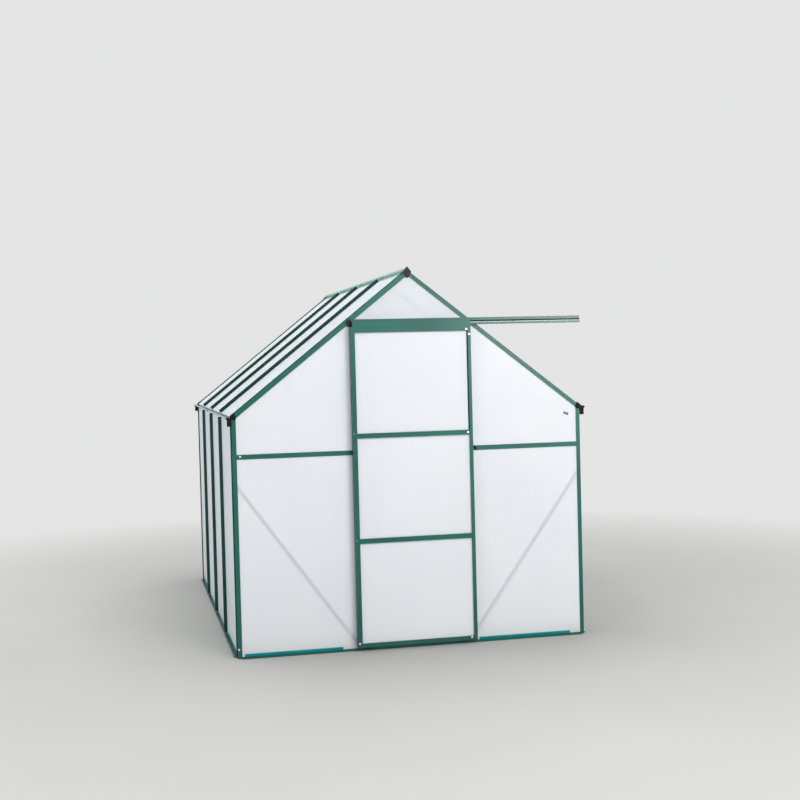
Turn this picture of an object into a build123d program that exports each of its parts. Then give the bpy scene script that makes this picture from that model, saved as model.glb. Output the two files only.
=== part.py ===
from build123d import *
from math import atan2, cos, degrees, sin, tan
import os

# A small greenhouse: green aluminium extrusions, twin-wall sheets in their slots,
# and a sliding door hung in front of the front gable. Millimetres.
# X runs across, the door gable faces -Y, Z is up from the ground.

# Overall sizes
half_width = 930.3           # middle to the outer rib of a corner post
eave_height = 1228.9         # where the roof's rib line meets the outer rib of the corner posts
ridge_height = 1959.7        # where the two rib lines of the roof meet
bay_length = 642.0           # spacing of the bars along a side wall
bay_count = 4
door_post_place = 298.0      # middle of the gable to the middle of a door post
cross_rail_height = 1020.0   # middle of the rails half way up the gables
header_gap = 2.2             # header to the rafters' underside, at the inner edge of a door post

# Sheets and the slots that hold them
sheet = 4.0                  # twin-wall sheet
slot_play = 0.3              # play on each side of a sheet, and at its edges
wall = 1.7                   # wall of an extrusion
sheet_grip = 9.7             # how deep a sheet sits in a slot
sheet_depth_side = 7.0       # outer rib of the corner post to the outside of the side sheet

# Glazing bars of the side walls and the roof
bar_flange = 24.0
bar_web = 4.0
fin_height = 18.0            # from the sheet to the end of the fin
fin_web = 2.0
fin_cap = 12.0
channel_width = 14.0         # bolt channel on the inner side
channel_depth = 10.0
channel_mouth = 6.6

# Flat faced bars of the gables
post_face = 25.0
rail_face = 24.5

# Corner profile, for the corner posts and the gable rafters
corner_reach = 27.4          # outer rib to the inner edge of the front flange
corner_set_back = 6.5        # outer rib to the outer edge of the front flange
rib_depth = 24.0             # front face to the outer rib
corner_box = 26.0            # depth of the corner profile's hollow box
side_reach = 36.0            # front face to the rear edge of the side slot

# Base rails
rail_height = 10.0           # slot that holds the sheets
foot_outer = 18.0            # outer lip, from the sheet's outside
foot_inner = 14.0            # inner edge of the foot, from the sheet's inside
foot_lip = 9.0               # height of the foot's two upturned edges
lip_wall = 2.0

# Eaves and gutters
stud_drop = 4.0              # gutter floor to the upper ends of the wall studs
eave_shelf_reach = 30.0      # outer rib of the corner post to the inner edge of the eave beam's shelf
roof_end_inset = 6.0         # outer rib of the corner post back to the ends of the roof sheets and bars
gutter_clearance = 0.3       # outer rib of the corner post to the gutter
gutter_width = 21.7
gutter_drop = 22.8           # eave height to the lowest, inner edge of the gutter
gutter_rim_drop = 12.5       # and to the outer edge of its sloping floor
gutter_lip_drop = 6.0        # and to the top of its outer lip
gutter_inner_height = 4.8
gutter_fold = 5.1            # lip folded inward
gutter_joint = 0.5

# Ridge
crest_rise = 5.0             # crest of the ridge above the rib line
crest_half = 14.0            # along the slope, from the middle to the crest's side
ridge_reach = 28.0           # along the slope, from the middle to the edge of the ridge's slot
ridge_overlap = 5.0          # the two halves of the ridge run past the middle before they are trimmed
mitre_gap = 0.6              # between the two rafters of a gable, at the ridge

# Door
door_lap_left = 15.5         # closed door, beyond the middle of the left door post
door_lap_right = 22.5        # beyond the middle of the right door post
door_bottom = 19.0
door_head_drop = 12.0        # top of the track to the top of the door
door_gap = 26.0              # gable face to the back of the door
door_depth = 18.0
stile_face_left = 22.5
stile_face_right = 16.5
top_rail_face = 57.0
mid_rail_face = 24.5
bottom_rail_face = 22.0
upper_mid_rail = 1106.0
lower_mid_rail = 566.7
door_sheet_back = 4.0        # back of the door to the back of its sheets
door_grip = 6.0
notch_width = 11.0           # upper outer corner of the left stile, cut out before the track's plug
notch_height = 27.0

# Track and rollers
track_rise = 16.0            # middle of the header to the top of the track
track_height = 36.0
track_depth = 20.0
track_wall = 2.0
track_slot = 6.0             # open slot in the front of the track
wheel_play = 0.4
wheel_width = 8.0
axle_radius = 2.5
roller_inset = 32.0          # edge of the door to the middle of a wheel
track_inset = 10.5           # left edge of the closed door to the end of the track
plug_thickness = 18.0
plug_edge = 1.0
stop_thickness = 2.0

# Guides under the door
guide_height = 24.0
guide_foot = 4.0
guide_length = 30.0
guide_gap = 5.0              # to the base rail's floor and its upturned lip

# Braces
brace_width = 14.0
brace_thickness = 1.6
brace_foot_height = 40.0
brace_top_height = 868.0
brace_tuck = 2.0             # behind the edge of the corner post

# Caps of the ridge
cap_plate = 5.0
cap_edge = 1.2               # bevel round the front of every cap
ridge_cap_half_width = 22.5
ridge_cap_half_foot = 6.0
ridge_cap_rise = 12.0        # meeting point of the rib lines to the top
ridge_cap_waist_drop = 16.7  # to the widest part
ridge_cap_drop = 46.0        # and to the lower end

# Caps of the eaves, inward from the outer rib and down from the eave height
cap_fan_top = 20.0           # corner on the rib line
cap_fan_inner = 29.0
cap_fan_drop = 11.0
cap_foot_inner = 26.0
cap_foot_drop = 20.0
cap_box_inner = 6.0
cap_box_drop = 53.0
cap_shoulder = 0.5           # outward, where the fan ends on the gutter
cap_shoulder_drop = 9.0
cap_horn_reach = 4.0         # beyond the gutter
cap_horn_drop = 10.5
cap_horn_root = 5.0          # back from the gutter's outer face

# Coloured strips on the sheets, along the base rails
strip_thickness = 1.2
strip_top = 23.0
strip_start = 12.9           # from the corner profile
strip_stop = 74.5
strip_lead = 31.5            # right hand strip, from the door post
strip_tail = 57.9            # and from the corner profile

# Worked out from the sizes above
length = bay_count * bay_length
gutter_inner = half_width + gutter_clearance
gutter_outer = gutter_inner + gutter_width
gutter_floor = eave_height - gutter_drop
gutter_rim = eave_height - gutter_rim_drop
gutter_lip = eave_height - gutter_lip_drop
gutter_inner_top = gutter_floor + gutter_inner_height
eave_shelf_inner = half_width - eave_shelf_reach
roof_end = half_width - roof_end_inset
proud_front = door_gap + door_depth
proud_back = foot_outer - wall - slot_play
half_length = length / 2
shift = (proud_front - proud_back) / 2
front_face = -half_length + shift
back_face = half_length + shift
slope = atan2(ridge_height - eave_height, half_width)
rise = tan(slope)
sheet_outer_side = half_width - sheet_depth_side
sheet_inner_side = sheet_outer_side - sheet
gable_sheet_outer = wall + slot_play
gable_sheet_inner = gable_sheet_outer + sheet
sheet_bottom = lip_wall
stud_top = gutter_floor - stud_drop
side_sheet_top = stud_top + sheet_grip
web_half = bar_web / 2
slot_floor = corner_reach - sheet_grip - slot_play
post_edge_out = door_post_place + post_face / 2
post_edge_in = door_post_place - post_face / 2
corner_edge = half_width - corner_reach
header_top = ridge_height - rise * post_edge_in - corner_reach / cos(slope) - header_gap
header_height = header_top - rail_face / 2
door_left = -door_post_place - door_lap_left
door_right = door_post_place + door_lap_right
track_left = door_left + track_inset
track_right = half_width - stop_thickness
track_top = header_height + track_rise
door_top = track_top - door_head_drop

os.makedirs("parts", exist_ok=True)


def roof_line(x, below=0.0):
    """Height of the line that lies below the roof's rib line, square to the slope."""
    return ridge_height - rise * abs(x) - below / cos(slope)


def gable_y(end, inward):
    """Y of a point inward from the face of a gable: end is -1 at the front and 1 at the back."""
    return front_face + inward if end < 0 else back_face - inward


def strip(a, b):
    """A rectangle of the active sketch between two corners."""
    with Locations(((a[0] + b[0]) / 2, (a[1] + b[1]) / 2)):
        Rectangle(abs(b[0] - a[0]), abs(b[1] - a[1]))


def roof_plane(side, below):
    """Plane of a roof slope, below its rib line, facing out of the roof."""
    return Plane(
        origin=(0, 0, ridge_height),
        x_dir=(0, 1, 0),
        z_dir=(side * sin(slope), 0, cos(slope)),
    ).offset(-below)


def trim_under_roof(below):
    """Cuts the active part off above both slopes."""
    for side in (-1, 1):
        split(bisect_by=roof_plane(side, below), keep=Keep.BOTTOM)


def save(piece, name):
    piece.label = name
    export_step(piece, f"parts/{name}.step")


def save_solids(pieces, name):
    group = Compound(children=list(pieces))
    group.label = name
    export_step(group, f"parts/{name}.step")


# Profiles, drawn by two local directions

def draw_corner_profile(place):
    """Corner profile: place(a, b) maps a, inward from the outer rib, and b, inward from the gable face."""
    inner = corner_reach
    box_in = slot_floor
    gable_in = gable_sheet_inner + slot_play
    side_out = sheet_depth_side - slot_play
    side_in = sheet_depth_side + sheet + slot_play
    plates = (
        ((corner_set_back, 0), (inner, wall)),
        ((corner_set_back, 0), (corner_set_back + wall, corner_box)),
        ((box_in - wall, 0), (box_in, corner_box)),
        ((side_out - wall, corner_box - wall), (box_in, corner_box)),
        ((box_in - wall, gable_in), (inner, gable_in + wall)),
        ((0, rib_depth), (corner_set_back + wall, rib_depth + wall)),
        ((side_out - wall, rib_depth), (side_out, side_reach)),
        ((side_in, corner_box - wall), (side_in + wall, side_reach)),
    )
    for a, b in plates:
        strip(place(*a), place(*b))


def draw_sheet_slots(place, flange, flange_foot):
    """Two flanges and the web between them: place(u, v), v outward from the sheet's outside."""
    strip(place(-flange / 2, slot_play), place(flange / 2, slot_play + wall))
    strip(place(-web_half, -sheet - slot_play), place(web_half, slot_play))
    if flange_foot:
        strip(place(-flange / 2, -sheet - slot_play - wall), place(flange / 2, -sheet - slot_play))


def draw_channel(place):
    """Bolt channel, open to the inside of the greenhouse."""
    top = -sheet - slot_play - wall
    foot = top - channel_depth
    half = channel_width / 2
    for side in (-1, 1):
        strip(place(side * half, top), place(side * (half - wall), foot))
        strip(place(side * half, foot), place(side * channel_mouth / 2, foot + wall))


def draw_fin(place):
    base = slot_play + wall
    strip(place(-fin_web / 2, base), place(fin_web / 2, fin_height))
    strip(place(-fin_cap / 2, fin_height - wall), place(fin_cap / 2, fin_height))


# Corner posts

def make_corner_post(side, end):
    def place(a, b):
        return side * (half_width - a), gable_y(end, b)

    with BuildPart() as post:
        with BuildSketch(Plane.XY):
            draw_corner_profile(place)
        extrude(amount=eave_height)
        trim_under_roof(corner_reach)
    return post.part


save_solids([make_corner_post(s, -1) for s in (-1, 1)], "corner_posts_front")
save_solids([make_corner_post(s, 1) for s in (-1, 1)], "corner_posts_back")


# Gable rafters, mitred at the ridge and cut upright at the eaves

def slope_plane(side):
    """Section plane at the ridge: local X is out of the roof, local Z runs down the slope."""
    return Plane(
        origin=(0, 0, ridge_height),
        x_dir=(side * sin(slope), 0, cos(slope)),
        z_dir=(side * cos(slope), 0, -sin(slope)),
    )


def slope_point(side, depth, y):
    """Local point of the slope plane, depth below the rib line, at the given Y."""
    return -depth, -side * y


rafter_run = half_width / cos(slope)


def make_rafter(side, end):
    def place(a, b):
        return slope_point(side, a, gable_y(end, b))

    with BuildPart() as rafter:
        with BuildSketch(slope_plane(side).offset(-corner_reach)):
            draw_corner_profile(place)
        extrude(amount=rafter_run + 2 * corner_reach)
        split(bisect_by=Plane.YZ.offset(side * mitre_gap / 2), keep=Keep.TOP if side > 0 else Keep.BOTTOM)
        split(bisect_by=Plane.YZ.offset(side * half_width), keep=Keep.BOTTOM if side > 0 else Keep.TOP)
    return rafter.part


save_solids([make_rafter(-1, -1), make_rafter(1, -1)], "gable_rafters_front")
save_solids([make_rafter(-1, 1), make_rafter(1, 1)], "gable_rafters_back")


# Side wall studs

bar_places = [front_face + bay_length * n for n in range(1, bay_count)]


def make_stud(side, y):
    def place(u, v):
        return side * (sheet_outer_side + v), y + u

    with BuildPart() as stud:
        with BuildSketch(Plane.XY.offset(rail_height)):
            draw_sheet_slots(place, bar_flange, True)
            draw_channel(place)
            draw_fin(place)
        extrude(amount=stud_top - rail_height)
    return stud.part


save_solids([make_stud(s, y) for s in (-1, 1) for y in bar_places], "wall_studs")


# Roof bars: the outer half runs on over the eave beam, the inner half stops at it

def slope_distance(x, below):
    """Distance down the slope from the ridge of a point at x that lies below the rib line."""
    return (x + below * sin(slope)) / cos(slope)


def make_roof_bar(side, y):
    def place(u, v):
        return slope_point(side, sheet_depth_side - v, y + u)

    start = ridge_reach
    end_outer = slope_distance(roof_end, sheet_depth_side)
    end_inner = slope_distance(eave_shelf_inner, sheet_depth_side + sheet + slot_play)
    with BuildPart() as bar:
        with BuildSketch(slope_plane(side).offset(start)):
            draw_sheet_slots(place, bar_flange, False)
            draw_fin(place)
        extrude(amount=end_outer - start)
        with BuildSketch(slope_plane(side).offset(start)):
            flange_top = -sheet - slot_play
            strip(place(-bar_flange / 2, flange_top - wall), place(bar_flange / 2, flange_top))
            draw_channel(place)
        extrude(amount=end_inner - start)
    return bar.part


save_solids([make_roof_bar(s, y) for s in (-1, 1) for y in bar_places], "roof_bars")


# Gable posts beside the doorway, the same at the back, mitred under the rafters

def make_gable_post(side, end):
    def place(u, v):
        return side * door_post_place + u, gable_y(end, gable_sheet_outer - v)

    with BuildPart() as post:
        with BuildSketch(Plane.XY.offset(rail_height)):
            draw_sheet_slots(place, post_face, True)
            draw_channel(place)
        extrude(amount=ridge_height - rail_height)
        trim_under_roof(corner_reach)
    return post.part


save_solids([make_gable_post(-1, -1), make_gable_post(1, -1)], "door_posts")
save_solids([make_gable_post(-1, 1), make_gable_post(1, 1)], "back_posts")


# Level rails of the gables

def make_gable_rail(end, x_from, x_to, height, face):
    def place(u, v):
        return gable_y(end, gable_sheet_outer - v), height + u

    with BuildPart() as rail:
        with BuildSketch(Plane.YZ.offset(x_from)):
            draw_sheet_slots(place, face, True)
            draw_channel(place)
        extrude(amount=x_to - x_from)
        trim_under_roof(corner_reach)
    return rail.part


outer_rails = ((-corner_edge, -post_edge_out), (post_edge_out, corner_edge))
save_solids(
    [make_gable_rail(-1, a, b, cross_rail_height, rail_face) for a, b in outer_rails],
    "cross_rails_front",
)
save_solids(
    [make_gable_rail(1, a, b, cross_rail_height, rail_face) for a, b in outer_rails]
    + [make_gable_rail(1, -post_edge_in, post_edge_in, cross_rail_height, rail_face)],
    "cross_rails_back",
)
save(make_gable_rail(-1, -post_edge_in, post_edge_in, header_height, rail_face), "door_header")
save(make_gable_rail(1, -post_edge_in, post_edge_in, header_height, rail_face), "back_header")


# Base rails, between the corner posts

def draw_base_rail(place):
    """place(v, z), v outward from the sheet's outside."""
    inner = -sheet - slot_play
    strip(place(-sheet - foot_inner, 0), place(foot_outer, lip_wall))
    strip(place(foot_outer - lip_wall, 0), place(foot_outer, foot_lip))
    strip(place(-sheet - foot_inner, 0), place(-sheet - foot_inner + lip_wall, foot_lip))
    strip(place(inner - wall, 0), place(inner, rail_height))
    strip(place(slot_play, 0), place(slot_play + wall, rail_height))


def make_side_rail(side):
    def place(v, z):
        return side * (sheet_outer_side + v), z

    with BuildPart() as rail:
        with BuildSketch(Plane.XZ.offset(-(front_face + side_reach))):
            draw_base_rail(place)
        extrude(amount=-(length - 2 * side_reach))
    return rail.part


def make_end_rail(end):
    def place(v, z):
        return gable_y(end, gable_sheet_outer - v), z

    with BuildPart() as rail:
        with BuildSketch(Plane.YZ.offset(-corner_edge)):
            draw_base_rail(place)
        extrude(amount=2 * corner_edge)
    return rail.part


save_solids([make_side_rail(-1), make_side_rail(1)], "base_rails_side")
save(make_end_rail(-1), "base_rail_front")
save(make_end_rail(1), "base_rail_back")


# Eave beams: a slot for the wall sheets below, a shelf for the roof sheets above

def make_eave_beam(side):
    shelf_top = sheet_depth_side + sheet + slot_play
    inner = sheet_inner_side - slot_play
    outer = sheet_outer_side + slot_play
    shelf_out = outer + wall

    def shelf_height(x, extra=0.0):
        return roof_line(x, shelf_top + extra)

    slot_roof = side_sheet_top + slot_play
    with BuildPart() as beam:
        with BuildSketch(Plane.XZ.offset(-(front_face + side_reach))):
            strip((side * (inner - wall), stud_top), (side * inner, shelf_height(inner, wall / 2)))
            strip((side * outer, stud_top), (side * shelf_out, shelf_height(shelf_out, wall / 2)))
            strip((side * inner, slot_roof), (side * outer, slot_roof + wall))
            strip((side * outer, gutter_floor), (side * gutter_inner, gutter_floor + wall))
            with BuildLine():
                Polyline(
                    (side * eave_shelf_inner, shelf_height(eave_shelf_inner)),
                    (side * shelf_out, shelf_height(shelf_out)),
                    (side * shelf_out, shelf_height(shelf_out, wall)),
                    (side * eave_shelf_inner, shelf_height(eave_shelf_inner, wall)),
                    close=True,
                )
            make_face()
        extrude(amount=-(length - 2 * side_reach))
    return beam.part


save_solids([make_eave_beam(-1), make_eave_beam(1)], "eave_beams")


# Gutters with a floor that slopes up outward, each in two lengths that meet at mid length

def make_gutter(side, y_from, y_to):
    floor_rise = (gutter_rim - gutter_floor) / gutter_width
    floor_wall = wall * (1 + floor_rise ** 2) ** 0.5
    inner_face = gutter_inner + wall
    outer_face = gutter_outer - wall
    fold_end = gutter_outer - gutter_fold

    def floor_top(x):
        return gutter_floor + floor_rise * (x - gutter_inner) + floor_wall

    outline = (
        (gutter_inner, gutter_inner_top),
        (gutter_inner, gutter_floor),
        (gutter_outer, gutter_rim),
        (gutter_outer, gutter_lip),
        (fold_end, gutter_lip),
        (fold_end, gutter_lip - wall),
        (outer_face, gutter_lip - wall),
        (outer_face, floor_top(outer_face)),
        (inner_face, floor_top(inner_face)),
        (inner_face, gutter_inner_top),
    )
    with BuildPart() as gutter:
        with BuildSketch(Plane.XZ.offset(-y_from)):
            with BuildLine():
                Polyline(*[(side * x, z) for x, z in outline], close=True)
            make_face()
        extrude(amount=-(y_to - y_from))
    return gutter.part


middle = (front_face + back_face) / 2
gutter_lengths = ((front_face, middle - gutter_joint / 2), (middle + gutter_joint / 2, back_face))
save_solids([make_gutter(s, a, b) for s in (-1, 1) for a, b in gutter_lengths], "gutters")


# Ridge beam: a slot each side for the roof sheets, and a hollow crest that runs on over the rafters

def make_ridge_beam():
    def place(along, depth):
        return (
            cos(slope) * along - sin(slope) * depth,
            ridge_height - sin(slope) * along - cos(slope) * depth,
        )

    def sloped_strip(along_from, along_to, depth_from, depth_to):
        with Locations(place((along_from + along_to) / 2, (depth_from + depth_to) / 2)):
            Rectangle(abs(along_to - along_from), abs(depth_to - depth_from), rotation=-degrees(slope))

    outer = sheet_depth_side - slot_play
    inner = sheet_depth_side + sheet + slot_play
    top = -crest_rise - wall
    with BuildPart() as ridge:
        with BuildSketch(Plane.XZ.offset(-(front_face + side_reach))):
            sloped_strip(-ridge_overlap, ridge_reach, outer - wall, outer)
            sloped_strip(-ridge_overlap, ridge_reach, inner, inner + wall)
            sloped_strip(crest_half, crest_half + wall, top, inner)
        extrude(amount=-(length - 2 * side_reach))
        with BuildSketch(Plane.XZ.offset(-front_face)):
            sloped_strip(crest_half, crest_half + wall, top, -slot_play)
            sloped_strip(-ridge_overlap - crest_rise, crest_half + wall, top, -crest_rise)
        extrude(amount=-length)
        split(bisect_by=Plane.YZ, keep=Keep.TOP)
        mirror(about=Plane.YZ)
    return ridge.part


save(make_ridge_beam(), "ridge_beam")


# Sheets of the side walls and the roof

def bay_edges(bay):
    start = front_face + bay * bay_length + web_half + slot_play
    stop = front_face + (bay + 1) * bay_length - web_half - slot_play
    if bay == 0:
        start = front_face + corner_box + slot_play
    if bay == bay_count - 1:
        stop = back_face - corner_box - slot_play
    return start, stop


def make_wall_sheet(side, bay):
    start, stop = bay_edges(bay)
    with BuildPart() as pane:
        with BuildSketch(Plane.XY.offset(sheet_bottom)):
            strip((side * sheet_outer_side, start), (side * sheet_inner_side, stop))
        extrude(amount=side_sheet_top - sheet_bottom)
    return pane.part


def make_roof_sheet(side, bay):
    start, stop = bay_edges(bay)
    top = crest_half + wall + slot_play
    with BuildPart() as pane:
        with BuildSketch(slope_plane(side).offset(top)):
            strip(
                slope_point(side, sheet_depth_side, start),
                slope_point(side, sheet_depth_side + sheet, stop),
            )
        extrude(amount=slope_distance(roof_end, sheet_depth_side) - top)
    return pane.part


bays = range(bay_count)
save_solids([make_wall_sheet(-1, bay) for bay in bays], "wall_sheets_left")
save_solids([make_wall_sheet(1, bay) for bay in bays], "wall_sheets_right")
save_solids([make_roof_sheet(-1, bay) for bay in bays], "roof_sheets_left")
save_solids([make_roof_sheet(1, bay) for bay in bays], "roof_sheets_right")


# Sheets of the gables

sheet_edge_corner = half_width - slot_floor - slot_play
sheet_edge_post_out = door_post_place + web_half + slot_play
sheet_edge_post_in = door_post_place - web_half - slot_play
rafter_slot = slot_floor + slot_play
rail_gap = web_half + slot_play


def make_gable_sheet(end, x_from, x_to, z_from, z_to):
    """A flat sheet in a gable, trimmed to the slots of the rafters."""
    with BuildPart() as pane:
        with BuildSketch(Plane.XZ.offset(-gable_y(end, gable_sheet_outer))):
            strip((x_from, z_from), (x_to, z_to))
        extrude(amount=end * sheet)
        trim_under_roof(rafter_slot)
    return pane.part


lower_span = (sheet_bottom, cross_rail_height - rail_gap)
upper_span = (cross_rail_height + rail_gap, ridge_height)
apex_span = (header_height + rail_gap, ridge_height)
middle_upper_span = (cross_rail_height + rail_gap, header_height - rail_gap)
left_span = (-sheet_edge_corner, -sheet_edge_post_out)
middle_span = (-sheet_edge_post_in, sheet_edge_post_in)
right_span = (sheet_edge_post_out, sheet_edge_corner)

save_solids([make_gable_sheet(-1, *x, *lower_span) for x in (left_span, right_span)], "front_sheets_lower")
save_solids([make_gable_sheet(-1, *x, *upper_span) for x in (left_span, right_span)], "front_sheets_upper")
save(make_gable_sheet(-1, *middle_span, *apex_span), "front_apex_sheet")
save_solids(
    [make_gable_sheet(1, *x, *lower_span) for x in (left_span, middle_span, right_span)],
    "back_sheets_lower",
)
save_solids(
    [make_gable_sheet(1, *x, *upper_span) for x in (left_span, right_span)]
    + [make_gable_sheet(1, *middle_span, *middle_upper_span)],
    "back_sheets_upper",
)
save(make_gable_sheet(1, *middle_span, *apex_span), "back_apex_sheet")


# Braces behind the lower sheets of the gables, from the corner posts down to the middle posts

def make_brace(side, end):
    x_top = side * (corner_edge + brace_tuck)
    x_foot = side * (door_post_place + channel_width / 2 + brace_width / 2 + slot_play)
    run = x_foot - x_top
    drop = brace_foot_height - brace_top_height
    span = (run ** 2 + drop ** 2) ** 0.5
    inset = gable_sheet_inner + slot_play + wall
    with BuildPart() as brace:
        with BuildSketch(Plane.XZ.offset(-gable_y(end, inset))):
            with Locations(((x_top + x_foot) / 2, (brace_top_height + brace_foot_height) / 2)):
                Rectangle(span, brace_width, rotation=degrees(atan2(drop, run)))
        extrude(amount=end * brace_thickness)
    return brace.part


save_solids([make_brace(s, -1) for s in (-1, 1)], "front_braces")
save_solids([make_brace(s, 1) for s in (-1, 1)], "back_braces")


# Track over the door, a channel with an open slot along its front

track_bottom = track_top - track_height
axle_height = track_top - track_height / 2


def make_track():
    back = front_face
    front = front_face - track_depth
    lip = (track_height - track_slot) / 2
    with BuildPart() as track:
        with BuildSketch(Plane.YZ.offset(track_left)):
            strip((back, track_bottom), (back - track_wall, track_top))
            strip((back, track_top), (front, track_top - track_wall))
            strip((back, track_bottom), (front, track_bottom + track_wall))
            strip((front, track_top), (front + track_wall, track_top - lip))
            strip((front, track_bottom), (front + track_wall, track_bottom + lip))
        extrude(amount=track_right - track_left)
    return track.part


save(make_track(), "door_track")

with BuildPart() as track_plug:
    with BuildSketch(Plane.YZ.offset(track_left)):
        strip((front_face, track_bottom), (front_face - track_depth, track_top))
    extrude(amount=-plug_thickness)
    chamfer(track_plug.edges().filter_by(Axis.X), plug_edge)
save(track_plug.part, "track_end_plug")

with BuildPart() as track_stop:
    with BuildSketch(Plane.YZ.offset(track_right)):
        strip((front_face, track_bottom), (front_face - track_depth, track_top))
    extrude(amount=stop_thickness)
save(track_stop.part, "track_stop")


# Caps: a lozenge over each end of the ridge, and a fan with a gutter end at each eave corner

def make_cap(end, outline):
    """A moulded cap in front of a gable, from its outline in X and Z."""
    with BuildPart() as cap:
        with BuildSketch(Plane.XZ.offset(-gable_y(end, 0))):
            with BuildLine():
                Polyline(*outline, close=True)
            make_face()
        extrude(amount=-end * cap_plate)
        outer_face = cap.faces().sort_by(Axis.Y)[0 if end < 0 else -1]
        chamfer(outer_face.edges(), cap_edge)
    return cap.part


def ridge_cap_outline():
    top = ridge_height + ridge_cap_rise
    waist = ridge_height - ridge_cap_waist_drop
    foot = ridge_height - ridge_cap_drop
    right = ((0, top), (ridge_cap_half_width, waist), (ridge_cap_half_foot, foot))
    left = ((-ridge_cap_half_foot, foot), (-ridge_cap_half_width, waist))
    return right + left


def eave_cap_outline(side):
    outline = (
        (half_width - cap_fan_inner, eave_height - cap_fan_drop),
        (half_width - cap_fan_top, roof_line(half_width - cap_fan_top)),
        (half_width + cap_shoulder, roof_line(half_width + cap_shoulder)),
        (half_width + cap_shoulder, eave_height - cap_shoulder_drop),
        (gutter_outer + cap_horn_reach, eave_height - cap_horn_drop),
        (gutter_outer - cap_horn_root, eave_height - cap_foot_drop),
        (gutter_outer - cap_horn_root, eave_height - cap_box_drop),
        (half_width - cap_box_inner, eave_height - cap_box_drop),
        (half_width - cap_box_inner, eave_height - cap_foot_drop),
        (half_width - cap_foot_inner, eave_height - cap_foot_drop),
    )
    return [(side * x, z) for x, z in outline]


save_solids([make_cap(e, ridge_cap_outline()) for e in (-1, 1)], "ridge_caps")
save_solids([make_cap(e, eave_cap_outline(s)) for e in (-1, 1) for s in (-1, 1)], "eave_caps")


# Coloured strips that stand on the base rails, on the face of the sheets

def make_front_strip(x_from, x_to):
    face = gable_y(-1, gable_sheet_outer)
    with BuildPart() as cover:
        with BuildSketch(Plane.YZ.offset(x_from)):
            strip((face, rail_height), (face - strip_thickness, strip_top))
        extrude(amount=x_to - x_from)
    return cover.part


def make_side_strip(side, y_from, y_to):
    face = side * sheet_outer_side
    with BuildPart() as cover:
        with BuildSketch(Plane.XZ.offset(-y_from)):
            strip((face, rail_height), (face + side * strip_thickness, strip_top))
        extrude(amount=-(y_to - y_from))
    return cover.part


front_strips = (
    (-corner_edge + strip_start, -post_edge_out - strip_stop),
    (post_edge_out + strip_lead, corner_edge - strip_tail),
)
side_strips = [
    (front_face + side_reach + strip_start, front_face + bay_length - strip_stop),
    (back_face - bay_length + strip_stop, back_face - side_reach - strip_start),
]
save_solids(
    [make_front_strip(a, b) for a, b in front_strips]
    + [make_side_strip(s, a, b) for s in (-1, 1) for a, b in side_strips],
    "sill_strips",
)


# Sliding door

door_back = front_face - door_gap
door_front = door_back - door_depth
door_sheet_near = door_back - door_sheet_back


def draw_door_frame_profile(place, face):
    """place(inward, depth): inward from the outer edge of the door, depth from its front."""
    sheet_front = door_depth - door_sheet_back - sheet - slot_play
    sheet_rear = door_depth - door_sheet_back + slot_play
    slot_bottom = face - door_grip
    strip(place(0, 0), place(face, wall))
    strip(place(0, 0), place(wall, door_depth))
    strip(place(slot_bottom - wall, 0), place(slot_bottom, door_depth))
    strip(place(0, door_depth - wall), place(slot_bottom, door_depth))
    strip(place(slot_bottom - wall, sheet_front - wall), place(face, sheet_front))
    strip(place(face - wall, 0), place(face, sheet_front))
    strip(place(slot_bottom - wall, sheet_rear), place(face, sheet_rear + wall))


def make_stile(side):
    edge = door_left if side < 0 else door_right
    face = stile_face_left if side < 0 else stile_face_right

    def place(inward, depth):
        return edge - side * inward, door_front + depth

    with BuildPart() as stile:
        with BuildSketch(Plane.XY.offset(door_bottom)):
            draw_door_frame_profile(place, face)
        extrude(amount=door_top - door_bottom)
        if side < 0:
            with BuildSketch(Plane.XY.offset(door_top - notch_height)):
                strip(place(0, 0), place(notch_width, door_depth))
            extrude(amount=notch_height, mode=Mode.SUBTRACT)
    return stile.part


save_solids([make_stile(-1), make_stile(1)], "door_stiles")

rail_from = door_left + stile_face_left
rail_to = door_right - stile_face_right


def make_end_door_rail(edge, inward_sign, face):
    def place(inward, depth):
        return door_front + depth, edge + inward_sign * inward

    with BuildPart() as rail:
        with BuildSketch(Plane.YZ.offset(rail_from)):
            draw_door_frame_profile(place, face)
        extrude(amount=rail_to - rail_from)
    return rail.part


save(make_end_door_rail(door_top, -1, top_rail_face), "door_top_rail")
save(make_end_door_rail(door_bottom, 1, bottom_rail_face), "door_bottom_rail")


def make_mid_rail(height):
    slot_front = door_front + door_depth - door_sheet_back - sheet - slot_play
    slot_rear = door_front + door_depth - door_sheet_back + slot_play
    half = mid_rail_face / 2
    with BuildPart() as rail:
        with BuildSketch(Plane.YZ.offset(rail_from)):
            strip((door_front, height - half), (door_front + wall, height + half))
            for edge in (-1, 1):
                strip((door_front, height + edge * half), (slot_front, height + edge * (half - wall)))
            strip((slot_front, height - half), (slot_front - wall, height + half))
            strip((slot_front, height - web_half), (slot_rear, height + web_half))
            strip((slot_rear, height - half), (slot_rear + wall, height + half))
        extrude(amount=rail_to - rail_from)
    return rail.part


save_solids([make_mid_rail(upper_mid_rail), make_mid_rail(lower_mid_rail)], "door_mid_rails")


def make_door_sheet(z_from, z_to):
    grip = door_grip - slot_play
    with BuildPart() as pane:
        with BuildSketch(Plane.XZ.offset(-door_sheet_near)):
            strip((rail_from - grip, z_from), (rail_to + grip, z_to))
        extrude(amount=sheet)
    return pane.part


door_grip_in = door_grip - slot_play
door_sheets = [
    make_door_sheet(door_bottom + bottom_rail_face - door_grip_in, lower_mid_rail - rail_gap),
    make_door_sheet(lower_mid_rail + rail_gap, upper_mid_rail - rail_gap),
    make_door_sheet(upper_mid_rail + rail_gap, door_top - top_rail_face + door_grip_in),
]
save_solids(door_sheets, "door_sheets")


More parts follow.
